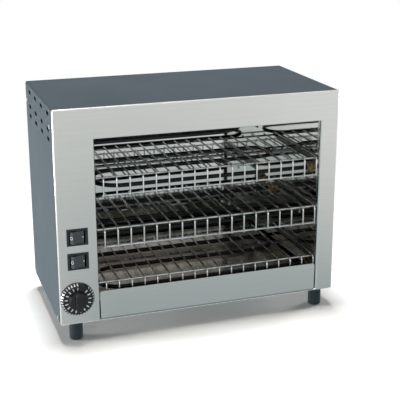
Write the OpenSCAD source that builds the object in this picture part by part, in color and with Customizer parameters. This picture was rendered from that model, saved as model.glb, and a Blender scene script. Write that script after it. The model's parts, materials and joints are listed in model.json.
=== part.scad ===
// Counter-top toast oven with three wire racks. Millimetres.
// Origin: on the floor, under the middle of the overall length and width. The front faces -Y, up is +Z.
// Inside the file, places are given from the casing's front lower left corner: x to the right,
// y backwards from the front plate's face, z up from the casing's underside.

/* [Casing] */
// Width of the casing
body_w = 450; // [440:5:500]
// Depth from the front plate's face to the back panel's face
body_d = 230; // [230:5:260]
// Height of the casing without its feet
body_h = 332; // [332:1:340]
// Thickness of the painted cover
cover_t = 1; // [0.8:0.1:1.2]
// Width of the groove between the front plate's rim and the cover
cover_groove = 0.8; // [0.4:0.1:1.2]
// Radius of the cover's two long bends
cover_bend_r = 3; // [2:0.5:5]
// Thickness of the stainless front plate
front_t = 1.2; // [1:0.1:1.2]
// Thickness of the base, the back panel and the lining sheets
sheet_t = 1; // [0.8:0.1:1]

/* [Front plate] */
// Width of the control strip left of the opening
left_strip = 60; // [58:1:64]
// Width of the strip right of the opening
right_strip = 30; // [28:1:32]
// Height of the strip above the opening
top_strip = 47.5; // [44:0.5:50]
// Thickness of the folded rim at the plate's outer edge
rim_t = 2.4; // [2.2:0.1:2.4]
// Depth of the folded rim that stays visible in front of the cover
rim_d = 3; // [2.5:0.5:4]
// Radius of the bend between the front plate and its rim
rim_bend_r = 1.8; // [1:0.1:2]
// Depth of the folds around the opening
return_d = 10; // [6:1:10]

/* [Vents and screws] */
// Length of a vent slot
slot_l = 18; // [14:1:22]
// Height of a vent slot
slot_h = 6; // [4:0.5:7]
// Columns of vent slots on each side
slot_columns = 4; // [2:1:4]
// Diameter of a casing screw's head
screw_head_d = 7; // [6:0.5:8]
// Height of a casing screw's head
screw_head_h = 2.2; // [1.8:0.1:2.6]

/* [Racks] */
// Height of the upper rack's cross wires above the casing's underside
upper_rack_z = 223; // [215:1:228]
// Height of the middle rack's cross wires
middle_rack_z = 142.5; // [136:0.5:148]
// Height of the lower rack's cross wires
lower_rack_z = 57.5; // [56:0.5:62]
// Diameter of the cross wires
cross_d = 3.2; // [3:0.1:3.4]
// Diameter of the wires that run from front to back
wire_d = 2.6; // [2.4:0.1:2.8]
// Number of wires that run from front to back
wire_count = 18; // [14:1:20]
// Drop of the bent-down lip below the cross wires
lip_drop = 27; // [24:1:27]
// Distance from the front plate's face to the lip wires
lip_y = 5.5; // [5:0.5:6]
// Depth at which a rack ends
rack_end_y = 173; // [165:1:173]

/* [Heating elements] */
// Diameter of the sheathed heating tube
tube_d = 6.5; // [6:0.5:7]
// Drop of a heating element below its rack's cross wires
tube_drop = 22; // [21:0.5:23]
// Drop of the uppermost element below the cavity's ceiling
ceiling_drop = 18; // [12:1:20]

/* [Crumb tray] */
// Height of the tray front's top edge
tray_top = 47.5; // [44:0.5:48]
// Radius of the tray front's top corners
tray_corner_r = 4; // [2:0.5:6]
// Height of the pan's walls
pan_wall = 17; // [10:1:18]

/* [Controls] */
// Height of the upper switch's centre
upper_switch_z = 139; // [130:1:180]
// Distance between the two switches' centres
switch_pitch = 38; // [34:1:44]
// Width of a switch's bezel
bezel_w = 32; // [31:0.5:33]
// Height of a switch's bezel
bezel_h = 26; // [25:0.5:27]
// Full throw of a rocker, in degrees
rocker_throw = 25; // [20:1:26]
// Radius of the timer dial's skirt
dial_r = 26; // [24:0.5:26]
// Height of the timer's axis above the casing's underside
dial_z = 41; // [40:0.5:44]

/* [Feet] */
// Height of a foot
foot_h = 28; // [20:1:35]
// Diameter of a foot
foot_d = 21; // [19:1:24]

/* [Hidden] */
$fn = 48;

eps = 0.01;
steel_bright = "gainsboro";
steel_dull = "silver";

// What stands in front of the front plate and behind the back panel
dial_proud = 19;
gland_proud = 16;
front_y = (dial_proud - body_d - gland_proud) / 2;

// Opening of the front plate
open_x0 = left_strip;
open_x1 = body_w - right_strip;
open_z0 = rim_t;
open_z1 = body_h - top_strip;

// Casing screws
side_screw_front_gap = 18;
side_screw_rear_gap = 15;
side_screw_low_gap = 6;
side_screw_top_gap = 28;
side_screw_y = [side_screw_front_gap, body_d - side_screw_rear_gap];
side_screw_z = [side_screw_low_gap, body_h - side_screw_top_gap];
screw_shank_r = 1.7;
screw_shank_l = 7;
screw_hole_r = 2;
back_screw_side_gap = 9;
back_screw_low_gap = 10;
back_screw_top_gap = 12;
back_screw_x = [back_screw_side_gap, body_w / 2, body_w - back_screw_side_gap];
back_screw_z = [back_screw_low_gap, body_h - back_screw_top_gap];

// Cover and its fit over the front plate's fold
skin_gap = 0.25;
fold_d = side_screw_front_gap + 6;
fold_inset = cover_t + skin_gap;
fold_top = fold_inset + front_t;
front_corner_r = 2;
cover_y1 = body_d;

// Lining of the cavity
cavity_x0 = open_x0 + sheet_t;
cavity_x1 = open_x1 + 4;
cavity_y1 = body_d - 8;
cavity_z0 = 8;
cavity_z1 = open_z1 + 5.5;
shield_gap = 7;
shield_t = 0.8;
shield_y0 = 34;
shield_play = 2;

// Racks: the wires from front to back lie on the cross wires and sink in by the weld
weld = 0.3;
wire_rise = (cross_d + wire_d) / 2 - weld;
lip_bend_r = 6;
first_cross_y = lip_y + lip_bend_r;
last_cross_y = rack_end_y - 3;
cross_y = [first_cross_y, (first_cross_y + last_cross_y) / 2, last_cross_y];
wire_x = [open_x0 + 13, open_x1 - 2.6];
cross_x = [open_x0 + 2.2, open_x1 - 1.1];
rack_z = [upper_rack_z, middle_rack_z, lower_rack_z];

// Rails
rail_gap = 0.4;
rail_t = 1;
rail_flange = 9;
rail_y0 = return_d + 0.4;
rail_left_w = 6;
rail_right_w = 8;
stop_h = 5;

// Heating elements: a serpentine of three legs; the middle one is mirrored front to back
rear_leg_gap = 42;
front_leg_gap = 26;
rear_turn_w = 60;
turn_right_gap = 56;
turn_left_gap = 51;
tube_end_left_l = 14;
tube_end_right_l = 12;
leg_rear_y = cavity_y1 - rear_leg_gap;
leg_mid_y = leg_rear_y - rear_turn_w;
leg_front_y = return_d + front_leg_gap;
mirror_y = body_d / 2;
turn_right_x = cavity_x1 - turn_right_gap;
turn_left_x = cavity_x0 + turn_left_gap;
tube_end_left_x = open_x0 - tube_end_left_l;
tube_end_right_x = cavity_x1 + tube_end_right_l;
ceiling_front_gap = 22;
ceiling_turn_w = 120;
ceiling_turn_gap = 168;
ceiling_tube_z = cavity_z1 - ceiling_drop;
ceiling_leg_y = [return_d + ceiling_front_gap, return_d + ceiling_front_gap + ceiling_turn_w];
ceiling_turn_x = cavity_x1 - ceiling_turn_gap;
tube_hole_d = tube_d + 1;
small_bush_d = 12;
small_bush_t = 3;
bush_d = 17;
bush_t = 9;
nut_d = 13;
nut_t = 5;
stud_d = 3;
stud_l = 7;
clip_w = 8;
clip_drop = 8;
clip_lap = 6;

// Crumb tray
tray_front_x0 = open_x0 + 1.8;
tray_front_x1 = open_x1 - 2;
tray_front_z0 = open_z0 + 0.6;
tray_hem = 8;
pan_x0 = open_x0 + 6;
pan_x1 = open_x1 - 4;
pan_y1 = cavity_y1 - 8;
pan_z0 = fold_top + 0.35;
pan_t = 0.8;
runner_top = pan_z0 - 0.4;
fence_top = 12;
guide_gap = 1;
guide_w = 8;

// Switches
switch_x = left_strip / 2;
switch_z = [upper_switch_z, upper_switch_z - switch_pitch];
bezel_t = 1.8;
bezel_bevel = 0.7;
housing_w = bezel_w - 5;
housing_h = bezel_h - 4;
housing_d = 20;
cutout_play = 0.2;
well_w = housing_w - 2.6;
well_h = housing_h - 2.6;
well_d = 12.5;
rocker_half_w = well_w / 2 - 0.6;
rocker_h = well_h - 0.6;
rocker_bevel = 3;
face_y = -3.2;
pivot_y = 1.6;
pivot_pin_r = 1.2;
pivot_play = 0.07;
rocker_d = 7;
rocker_taper = 4;
tab_l = 8;
tab_t = 0.8;
tab_w = 6;
tab_pitch = [14, 10];

// Timer
dial_x = dial_r + 0.5;
skirt_gap = 1;
skirt_t = 5;
skirt_bevel = 3.4;
skirt_wall = 3.5;
hub_r = 14.6;
hub_t = 7;
grip_w = 11;
neck_d = 9;
neck_l = 0.4;
shaft_r = 3;
shaft_play = 0.05;
case_w = 44;
case_h = 46;
case_d = 26;
timer_screw_pitch = 28;
timer_screw_d = 2.8;
timer_head_d = 5.4;
timer_head_h = 1.3;
bell_r = 16;
bell_h = 9;
bell_ball_r = 20;

// Feet
foot_x = [foot_d / 2 + 14.5, body_w - foot_d / 2 - 14.5];
foot_y = [foot_d / 2 + 1.5, body_d - foot_d / 2 - 3.5];
foot_edge_r = 2.5;
foot_hole_r = 2.25;
foot_well_r = 5;
foot_floor = 6;
foot_screw_d = 4;
foot_nut_d = 8;
foot_head_h = 2.8;
foot_nut_h = 3.2;

// Cable gland
gland_x = 30;
gland_z = 40;
gland_bore_r = 5;
gland_thread_r = 9.8;
gland_hex_r = 13.5;
gland_in = 8;
gland_hex_t = 5;
gland_play = 0.2;

// Terminal block
block_x = 8;
block_z = 70;
block_d = 16;
block_h = 18;
block_pole_pitch = 11;
block_hole_d = 4;
block_hole_inset = 6;

// ---------------------------------------------------------------- shared shapes

// Puts children at a place given from the casing's front lower left corner
module at(x, y, z) {
    translate([x - body_w / 2, front_y + y, foot_h + z]) children();
}

// Box between two x, two y and two z values
module box(x, y, z) {
    at(x[0], y[0], z[0]) cube([x[1] - x[0], y[1] - y[0], z[1] - z[0]]);
}

// Round bar along x, y or z
module bar_x(x, y, z, d) { at(x[0], y, z) rotate([0, 90, 0]) cylinder(d = d, h = x[1] - x[0]); }
module bar_y(x, y, z, d) { at(x, y[0], z) rotate([-90, 0, 0]) cylinder(d = d, h = y[1] - y[0]); }
module bar_z(x, y, z, d) { at(x, y, z[0]) cylinder(d = d, h = z[1] - z[0]); }

// Extrudes an outline drawn in x and z from one y to another
module slab_y(y) {
    at(0, y[1], 0) rotate([90, 0, 0]) linear_extrude(y[1] - y[0]) children();
}

// Rectangle with four round corners
module round_rectangle(x, z, r) {
    translate([x[0] + r, z[0]]) square([x[1] - x[0] - 2 * r, z[1] - z[0]]);
    translate([x[0], z[0] + r]) square([x[1] - x[0], z[1] - z[0] - 2 * r]);
    for (cx = [x[0] + r, x[1] - r], cz = [z[0] + r, z[1] - r]) translate([cx, cz]) circle(r);
}

// Rectangle with round corners at the top only
module arch(x, z, r) {
    translate([x[0], z[0]]) square([x[1] - x[0], z[1] - z[0] - r]);
    translate([x[0] + r, z[0]]) square([x[1] - x[0] - 2 * r, z[1] - z[0]]);
    for (cx = [x[0] + r, x[1] - r]) translate([cx, z[1] - r]) circle(r);
}

// Obround hole along x, its long side along y
module side_slot(x, y, z) {
    for (s = [-1, 1]) bar_x(x, y + s * (slot_l - slot_h) / 2, z, slot_h);
    box(x, [y - (slot_l - slot_h) / 2, y + (slot_l - slot_h) / 2], [z - slot_h / 2, z + slot_h / 2]);
}

// Pan-head screw along +x, seated at the origin with its head on the -x side
module pan_screw(head_d, head_h, shank_l) {
    difference() {
        rotate([0, -90, 0]) intersection() {
            cylinder(d = head_d, h = head_h);
            translate([0, 0, head_h - head_d]) sphere(head_d);
        }
        translate([-head_h - eps, -head_d / 4, -0.4]) cube([head_h / 2, head_d / 2, 0.8]);
        translate([-head_h - eps, -0.4, -head_d / 4]) cube([head_h / 2, 0.8, head_d / 2]);
    }
    translate([-eps, 0, 0]) rotate([0, 90, 0]) cylinder(r = screw_shank_r, h = shank_l);
}

// ---------------------------------------------------------------- casing

slot_row_drops = [11, 34.5, 49.5];
slot_front_y = 34.7;
slot_rear_gap = 39;
slot_rows_z = [for (drop = slot_row_drops) body_h - drop];
slot_pitch = (body_d - slot_rear_gap - slot_front_y) / 3;
base_flange_h = 14;
base_slots = 10;
base_slot_size = [18, 4];
base_slot_pitch = [28, 80];
back_flange_d = 22;
back_slots = 8;
back_slot_pitch = 40;
back_slot_size = [25, 5];
back_slot_drops = [32, 46];
back_slot_z = [for (drop = back_slot_drops) body_h - drop];

module cover() {
    color("slategray") difference() {
        slab_y([rim_d + cover_groove, cover_y1]) difference() {
            arch([0, body_w], [0, body_h], cover_bend_r);
            arch([cover_t, body_w - cover_t], [-1, body_h - cover_t], cover_bend_r - cover_t);
        }
        for (side_x = [0, body_w], i = [0 : slot_columns - 1], z = slot_rows_z)
            side_slot([side_x - 2, side_x + 2], slot_front_y + i * slot_pitch, z);
        for (side_x = [0, body_w], y = side_screw_y, z = side_screw_z)
            bar_x([side_x - 2, side_x + 2], y, z, 2 * screw_hole_r);
    }
}

module frame_ring(y, inset, t) {
    slab_y(y) difference() {
        round_rectangle([inset, body_w - inset], [inset, body_h - inset], front_corner_r);
        translate([inset + t, inset + t])
            square([body_w - 2 * (inset + t), body_h - 2 * (inset + t)]);
    }
}

// Everything that is cut out of the front plate
module plate_openings() {
    translate([open_x0, open_z0]) square([open_x1 - open_x0, open_z1 - open_z0]);
    for (z = switch_z)
        translate([switch_x, z])
            square([housing_w + 2 * cutout_play, housing_h + 2 * cutout_play], center = true);
    translate([dial_x, dial_z]) circle(d = neck_d + 2 * cutout_play);
}

// The whole front as one block with the rim bend round it, which trims the plate and the rim
module rounded_front() {
    hull() for (bend = [0 : 22.5 : 90]) {
        inset = rim_bend_r * (1 - sin(bend));
        slab_y([rim_bend_r * (1 - cos(bend)), rim_d + eps])
            round_rectangle([inset, body_w - inset], [inset, body_h - inset], front_corner_r);
    }
}

module front_frame() {
    color(steel_bright) difference() {
        union() {
            intersection() {
                rounded_front();
                union() {
                    slab_y([0, front_t]) difference() {
                        square([body_w, body_h]);
                        plate_openings();
                    }
                    frame_ring([front_t - eps, rim_d], 0, rim_t);
                }
            }
            frame_ring([rim_d - eps, fold_d], fold_inset, front_t);
            slab_y([front_t - eps, return_d]) difference() {
                translate([open_x0 - front_t, open_z0 - eps])
                    square([open_x1 - open_x0 + 2 * front_t, open_z1 - open_z0 + front_t]);
                translate([open_x0, open_z0 - 2 * eps])
                    square([open_x1 - open_x0, open_z1 - open_z0 + 2 * eps]);
            }
        }
        for (side_x = [0, body_w], z = side_screw_z)
            bar_x([side_x - 4, side_x + 4], side_screw_y[0], z, 2 * screw_hole_r);
        for (s = [-1, 1]) bar_y(dial_x + s * timer_screw_pitch / 2, [-1, rim_d], dial_z, timer_screw_d + 0.6);
        for (x = foot_x) bar_z(x, foot_y[0], [fold_inset - 1, fold_inset + 2], 2 * foot_hole_r);
    }
}

module base_plate() {
    rear_y = body_d - 2;
    color(steel_dull) difference() {
        union() {
            box([fold_inset, body_w - fold_inset], [rim_d + 0.3, rear_y], [0, sheet_t]);
            for (x = [fold_inset, body_w - fold_inset - sheet_t])
                box([x, x + sheet_t], [fold_d + 1, rear_y], [0, base_flange_h]);
        }
        for (x = foot_x, y = foot_y) bar_z(x, y, [-1, 2], 2 * foot_hole_r);
        for (x = [0, body_w]) bar_x([x - 4, x + 4], side_screw_y[1], side_screw_z[0], 2 * screw_hole_r);
        for (i = [0 : base_slots - 1], j = [0, 1]) {
            x = body_w / 2 + (i - (base_slots - 1) / 2) * base_slot_pitch[0];
            y = body_d / 2 + (j - 0.5) * base_slot_pitch[1];
            at(x - base_slot_size[0] / 2, y - base_slot_size[1] / 2, -1)
                cube([base_slot_size[0], base_slot_size[1], sheet_t + 2]);
        }
    }
}

module back_panel() {
    inner_y = body_d - sheet_t;
    top_fold_z = body_h - cover_t - 1.4;
    color(steel_dull) difference() {
        union() {
            box([fold_inset, body_w - fold_inset], [inner_y, body_d], [0.3, body_h - cover_t - 0.3]);
            for (x = [fold_inset, body_w - fold_inset - sheet_t])
                box([x, x + sheet_t], [body_d - back_flange_d, inner_y + eps],
                    [base_flange_h + 1, body_h - 6]);
            box([20, body_w - 20], [body_d - back_flange_d / 2, inner_y + eps],
                [top_fold_z - sheet_t, top_fold_z]);
        }
        for (x = back_screw_x, z = back_screw_z) bar_y(x, [body_d - 2, body_d + 1], z, 2 * screw_hole_r);
        for (x = [0, body_w]) bar_x([x - 4, x + 4], side_screw_y[1], side_screw_z[1], 2 * screw_hole_r);
        bar_y(gland_x, [body_d - 2, body_d + 1], gland_z, 2 * (gland_thread_r + gland_play));
        for (i = [0 : back_slots - 1], z = back_slot_z) {
            x = body_w / 2 + (i - (back_slots - 1) / 2) * back_slot_pitch;
            half = (back_slot_size[0] - back_slot_size[1]) / 2;
            for (s = [-1, 1]) bar_y(x + s * half, [body_d - 2, body_d + 1], z, back_slot_size[1]);
            box([x - half, x + half], [body_d - 2, body_d + 1],
                [z - back_slot_size[1] / 2, z + back_slot_size[1] / 2]);
        }
    }
}

// ---------------------------------------------------------------- cavity lining

// Where the heating tubes pass the left and the right wall, as [y, z]
function legs(i) = i == 1 ? [for (y = [leg_rear_y, leg_mid_y, leg_front_y]) 2 * mirror_y - y]
                          : [leg_rear_y, leg_mid_y, leg_front_y];
left_ends = concat([for (i = [0 : 2]) [legs(i)[0], rack_z[i] - tube_drop]],
                   [for (y = ceiling_leg_y) [y, ceiling_tube_z]]);
right_ends = [for (i = [0 : 2]) [legs(i)[2], rack_z[i] - tube_drop]];

module lining_left() {
    color(steel_bright) difference() {
        box([open_x0, cavity_x0], [return_d + 0.4, cavity_y1], [cavity_z0, cavity_z1]);
        for (p = left_ends) bar_x([open_x0 - 1, cavity_x0 + 1], p[0], p[1], tube_hole_d);
    }
}

module lining_right() {
    color(steel_bright) difference() {
        box([cavity_x1, cavity_x1 + sheet_t], [front_t, cavity_y1], [cavity_z0, cavity_z1]);
        for (p = right_ends) bar_x([cavity_x1 - 1, cavity_x1 + 2], p[0], p[1], tube_hole_d);
    }
}

module lining_back() {
    color(steel_bright)
        box([open_x0, cavity_x1 + sheet_t], [cavity_y1, cavity_y1 + sheet_t], [sheet_t, cavity_z1]);
}

module lining_ceiling() {
    color(steel_bright)
        box([open_x0, cavity_x1 + sheet_t], [front_t, cavity_y1 + sheet_t], [cavity_z1, cavity_z1 + sheet_t]);
}

module heat_shield() {
    shield_x = open_x0 - shield_gap;
    color(steel_dull) difference() {
        union() {
            box([shield_x, shield_x + shield_t], [shield_y0, cavity_y1], [sheet_t, cavity_z1]);
            box([shield_x, open_x0 - 0.2], [cavity_y1, cavity_y1 + shield_t], [sheet_t, cavity_z1]);
        }
        for (p = left_ends) bar_x([shield_x - 1, shield_x + shield_t + 1], p[0], p[1], nut_d + shield_play);
    }
}

// ---------------------------------------------------------------- racks and rails

// Angle that carries one side of a rack: a ledge, a flange on the wall and a rear stop
module rail(z, wall_x, reach) {
    top = z - cross_d / 2 - rail_gap;
    inner = wall_x + reach;
    ledge_x = reach > 0 ? [wall_x, inner] : [inner, wall_x];
    flange_x = reach > 0 ? [wall_x, wall_x + rail_t] : [wall_x - rail_t, wall_x];
    stop_y = rack_end_y + 3;
    color(steel_dull) {
        box(ledge_x, [rail_y0, stop_y + rail_t], [top - rail_t, top]);
        box(flange_x, [rail_y0 + 4, stop_y + rail_t], [top - rail_flange, top - eps]);
        box(ledge_x, [stop_y, stop_y + rail_t], [top - eps, top + stop_h]);
    }
}

// One wire from front to back, bent down into the lip
module lip_wire(x, z, d) {
    top = z + wire_rise;
    bar_y(x, [first_cross_y, rack_end_y], top, d);
    at(x, first_cross_y, top - lip_bend_r) rotate([90, 0, 90]) rotate([0, 0, 90])
        rotate_extrude(angle = 90) translate([lip_bend_r, 0]) circle(d = d);
    bar_z(x, lip_y, [z - lip_drop - cross_d / 2, top - lip_bend_r], d);
}

module rack(z) {
    pitch = (wire_x[1] - wire_x[0]) / (wire_count - 1);
    lower_y = lip_y + wire_rise;
    color(steel_bright) {
        for (y = cross_y) bar_x(cross_x, y, z, cross_d);
        bar_x([wire_x[0] - wire_d / 2, wire_x[1] + wire_d / 2], lower_y, z - lip_drop, cross_d);
        for (i = [0 : wire_count - 1]) lip_wire(wire_x[0] + i * pitch, z, wire_d);
    }
}

// ---------------------------------------------------------------- heating elements

// Half ring in the x-y plane; side is 1 for a turn that opens to the left, -1 for one to the right
module turn(x, y, z, r, side) {
    at(x, y, z) rotate([0, 0, -90 * side]) rotate_extrude(angle = 180) translate([r, 0]) circle(d = tube_d);
}

// Three-leg serpentine: in at the left, two turns, out through the right wall
module serpentine(i) {
    z = rack_z[i] - tube_drop;
    y = legs(i);
    color("dimgray") {
        bar_x([tube_end_left_x, turn_right_x], y[0], z, tube_d);
        turn(turn_right_x, (y[0] + y[1]) / 2, z, abs(y[0] - y[1]) / 2, 1);
        bar_x([turn_left_x, turn_right_x], y[1], z, tube_d);
        turn(turn_left_x, (y[1] + y[2]) / 2, z, abs(y[1] - y[2]) / 2, -1);
        bar_x([turn_left_x, tube_end_right_x], y[2], z, tube_d);
    }
}

module element_ceiling() {
    color("dimgray") {
        for (y = ceiling_leg_y) bar_x([tube_end_left_x, ceiling_turn_x], y, ceiling_tube_z, tube_d);
        turn(ceiling_turn_x, (ceiling_leg_y[0] + ceiling_leg_y[1]) / 2, ceiling_tube_z,
             (ceiling_leg_y[1] - ceiling_leg_y[0]) / 2, 1);
    }
}

// A ring on a tube end
module ring_x(x, p, d) {
    difference() {
        bar_x(x, p[0], p[1], d);
        bar_x([x[0] - 1, x[1] + 1], p[0], p[1], tube_d);
    }
}

module element_bushes() {
    color("peru") {
        for (p = left_ends) ring_x([cavity_x0, cavity_x0 + small_bush_t], p, small_bush_d);
        for (p = right_ends) ring_x([cavity_x1 - bush_t, cavity_x1], p, bush_d);
    }
}

module element_nuts() {
    color("goldenrod") {
        for (p = left_ends) ring_x([open_x0 - nut_t, open_x0], p, nut_d);
        for (p = right_ends)
            ring_x([cavity_x1 + sheet_t, cavity_x1 + sheet_t + nut_t], p, nut_d);
    }
}

module element_terminals() {
    color("gold") {
        for (p = left_ends) bar_x([tube_end_left_x - stud_l, tube_end_left_x], p[0], p[1], stud_d);
        for (p = right_ends) bar_x([tube_end_right_x, tube_end_right_x + stud_l], p[0], p[1], stud_d);
    }
}

// Strips from the walls that carry the turns, and a hanger from the ceiling
module element_clips() {
    color(steel_dull) {
        for (i = [0 : 2]) {
            y = legs(i);
            z = rack_z[i] - tube_drop - tube_d / 2;
            right_y = (y[0] + y[1]) / 2;
            left_y = (y[1] + y[2]) / 2;
            right_tip = turn_right_x + abs(y[0] - y[1]) / 2;
            left_tip = turn_left_x - abs(y[1] - y[2]) / 2;
            box([right_tip - clip_lap, cavity_x1], [right_y - clip_w / 2, right_y + clip_w / 2], [z - rail_t, z]);
            box([cavity_x1 - rail_t, cavity_x1], [right_y - clip_w / 2, right_y + clip_w / 2],
                [z - clip_drop, z]);
            box([cavity_x0, left_tip + clip_lap], [left_y - clip_w / 2, left_y + clip_w / 2], [z - rail_t, z]);
            box([cavity_x0, cavity_x0 + rail_t], [left_y - clip_w / 2, left_y + clip_w / 2],
                [z - clip_drop, z]);
        }
        low = ceiling_tube_z - tube_d / 2;
        y = [for (s = [-1, 1]) (ceiling_leg_y[0] + ceiling_leg_y[1] + s * clip_w) / 2];
        tip = ceiling_turn_x + (ceiling_leg_y[1] - ceiling_leg_y[0]) / 2 + tube_d / 2;
        box([tip - tube_d, tip + rail_t], y, [low - rail_t, low]);
        box([tip, tip + rail_t], y, [low - eps, cavity_z1]);
    }
}

// ---------------------------------------------------------------- crumb tray

module tray_pan() {
    top = pan_z0 + pan_wall;
    color(steel_bright) difference() {
        box([pan_x0, pan_x1], [front_t, pan_y1], [pan_z0, top]);
        box([pan_x0 + pan_t, pan_x1 - pan_t], [front_t + pan_t, pan_y1 - pan_t], [pan_z0 + pan_t, top + 1]);
    }
}

// Flush front with a flat hem along its top edge
module tray_front() {
    color(steel_bright) {
        slab_y([0, front_t])
            arch([tray_front_x0, tray_front_x1], [tray_front_z0, tray_top], tray_corner_r);
        slab_y([front_t - eps, 2 * front_t]) intersection() {
            arch([tray_front_x0, tray_front_x1], [tray_front_z0, tray_top], tray_corner_r);
            translate([tray_front_x0, tray_top - tray_hem])
                square([tray_front_x1 - tray_front_x0, tray_hem]);
        }
    }
}

// Angle beside the pan: a runner under it and a fence along it
module tray_guide(x_fence, reach) {
    fence_x = reach > 0 ? [x_fence, x_fence + sheet_t] : [x_fence - sheet_t, x_fence];
    runner_x = reach > 0 ? [x_fence, x_fence + reach] : [x_fence + reach, x_fence];
    color(steel_dull) {
        box(fence_x, [fold_d + 1, cavity_y1 - 2], [sheet_t, fence_top]);
        box(runner_x, [fold_d + 1, cavity_y1 - 2], [sheet_t, runner_top]);
    }
}

// ---------------------------------------------------------------- controls

module switch_housing(z) {
    color([0.2, 0.25, 0.26]) difference() {
        union() {
            hull() for (inset = [0, bezel_bevel])
                box([switch_x - bezel_w / 2 + inset, switch_x + bezel_w / 2 - inset],
                    [bezel_bevel - bezel_t - inset, 0], [z - bezel_h / 2 + inset, z + bezel_h / 2 - inset]);
            box([switch_x - housing_w / 2, switch_x + housing_w / 2], [-eps, housing_d],
                [z - housing_h / 2, z + housing_h / 2]);
        }
        box([switch_x - well_w / 2, switch_x + well_w / 2], [-bezel_t - 1, well_d],
            [z - well_h / 2, z + well_h / 2]);
        bar_z(switch_x, pivot_y, [z - housing_h / 2 - 1, z + housing_h / 2 + 1],
              2 * (pivot_pin_r + pivot_play));
    }
}

// Rocker with a shallow V face, drawn level and turned to the pressed position about its pins
module rocker(z) {
    half = rocker_throw / 2;
    crest_x = rocker_half_w - rocker_bevel;
    crest_y = face_y - crest_x * tan(half);
    half_outline = [[crest_x, crest_y], [rocker_half_w, -0.6], [rocker_half_w - 0.2, 1.5],
                    [rocker_half_w - rocker_taper, rocker_d]];
    outline = concat([[0, face_y]], half_outline,
                     [for (i = [3 : -1 : 0]) [-half_outline[i][0], half_outline[i][1]]]);
    pin_l = housing_h - 0.6;
    color([0.22, 0.28, 0.3]) at(switch_x, pivot_y, z) rotate([0, 0, half]) {
        translate([0, 0, -rocker_h / 2]) linear_extrude(rocker_h) polygon(outline);
        translate([0, 0, -pin_l / 2]) cylinder(r = pivot_pin_r, h = pin_l);
    }
}

module switch_tabs() {
    color("goldenrod") for (z = switch_z, i = [-1, 1], j = [-1, 1]) {
        x = switch_x + i * tab_pitch[0] / 2;
        middle = z + j * tab_pitch[1] / 2;
        box([x - tab_t / 2, x + tab_t / 2], [housing_d, housing_d + tab_l], [middle - tab_w / 2, middle + tab_w / 2]);
    }
}

module timer_case() {
    color("darkgray") difference() {
        union() {
            box([dial_x - case_w / 2, dial_x + case_w / 2], [front_t, front_t + case_d],
                [dial_z - case_h / 2 + 3, dial_z + case_h / 2]);
            bar_y(dial_x, [-neck_l, front_t + eps], dial_z, neck_d);
        }
        bar_y(dial_x, [-1, front_t + case_d - 2], dial_z, 2 * (shaft_r + shaft_play));
        for (s = [-1, 1])
            bar_y(dial_x + s * timer_screw_pitch / 2, [front_t - 1, front_t + 6], dial_z, timer_screw_d);
    }
}

module timer_bell() {
    post_d = 3;
    back_y = front_t + case_d;
    color("gold") at(dial_x, back_y, dial_z) rotate([-90, 0, 0]) {
        difference() {
            intersection() {
                cylinder(r = bell_r, h = bell_h);
                translate([0, 0, bell_h - bell_ball_r]) sphere(bell_ball_r);
            }
            translate([0, 0, -1]) intersection() {
                cylinder(r = bell_r - 1, h = bell_h);
                translate([0, 0, bell_h - bell_ball_r]) sphere(bell_ball_r);
            }
            cylinder(d = post_d, h = 2 * bell_h);
        }
        cylinder(d = post_d, h = bell_h);
    }
}

module timer_screws() {
    color("silver") for (s = [-1, 1]) {
        bar_y(dial_x + s * timer_screw_pitch / 2, [-timer_head_h, 0], dial_z, timer_head_d);
        bar_y(dial_x + s * timer_screw_pitch / 2, [-eps, front_t + 5], dial_z, timer_screw_d);
    }
}

module timer_shaft() {
    tip = 1 - skirt_gap - skirt_t - hub_t;
    color("silver") bar_y(dial_x, [tip, front_t + case_d - 3], dial_z, 2 * shaft_r);
}

// Bevelled skirt, raised hub and a grip bar; hollow behind, with a socket for the shaft
module timer_dial() {
    skirt_front = skirt_gap + skirt_t;
    hub_front = skirt_front + hub_t;
    color([0.14, 0.17, 0.18]) at(dial_x, 0, dial_z) rotate([90, 0, 0]) difference() {
        union() {
            rotate_extrude() polygon([
                [0, skirt_gap], [dial_r, skirt_gap], [dial_r, skirt_gap + 0.8],
                [dial_r - skirt_bevel, skirt_front], [hub_r, skirt_front],
                [hub_r - 1, hub_front], [0, hub_front]
            ]);
            intersection() {
                cylinder(r = hub_r + 1, h = dial_proud);
                translate([-grip_w / 2, -hub_r - 1, skirt_front + 1])
                    cube([grip_w, 2 * hub_r + 2, dial_proud - skirt_front - 1]);
            }
        }
        difference() {
            translate([0, 0, skirt_gap - 1]) cylinder(r = dial_r - skirt_wall, h = skirt_t - 0.6);
            cylinder(r = shaft_r + 3, h = skirt_front);
        }
        translate([0, 0, -1]) cylinder(r = shaft_r, h = hub_front);
    }
}

// ---------------------------------------------------------------- feet, screws, supply

module foot(x, y) {
    color("darkslategray") difference() {
        at(x, y, -foot_h) rotate_extrude() {
            translate([0, foot_edge_r]) square([foot_d / 2, foot_h - foot_edge_r]);
            square([foot_d / 2 - foot_edge_r, foot_h]);
            translate([foot_d / 2 - foot_edge_r, foot_edge_r]) intersection() {
                circle(foot_edge_r);
                translate([0, -foot_edge_r]) square(foot_edge_r + eps);
            }
        }
        bar_z(x, y, [-foot_h - 1, -foot_floor], 2 * foot_well_r);
        bar_z(x, y, [-foot_h - 1, 1], 2 * foot_hole_r);
    }
}

module foot_screws() {
    color("silver") for (x = foot_x, i = [0, 1]) {
        nut_z = i == 0 ? fold_top : sheet_t;
        bar_z(x, foot_y[i], [-foot_floor - foot_head_h, -foot_floor], foot_nut_d);
        bar_z(x, foot_y[i], [-foot_floor - eps, cavity_z0 - 1], foot_screw_d);
        bar_z(x, foot_y[i], [nut_z, nut_z + foot_nut_h], foot_nut_d);
    }
}

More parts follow.
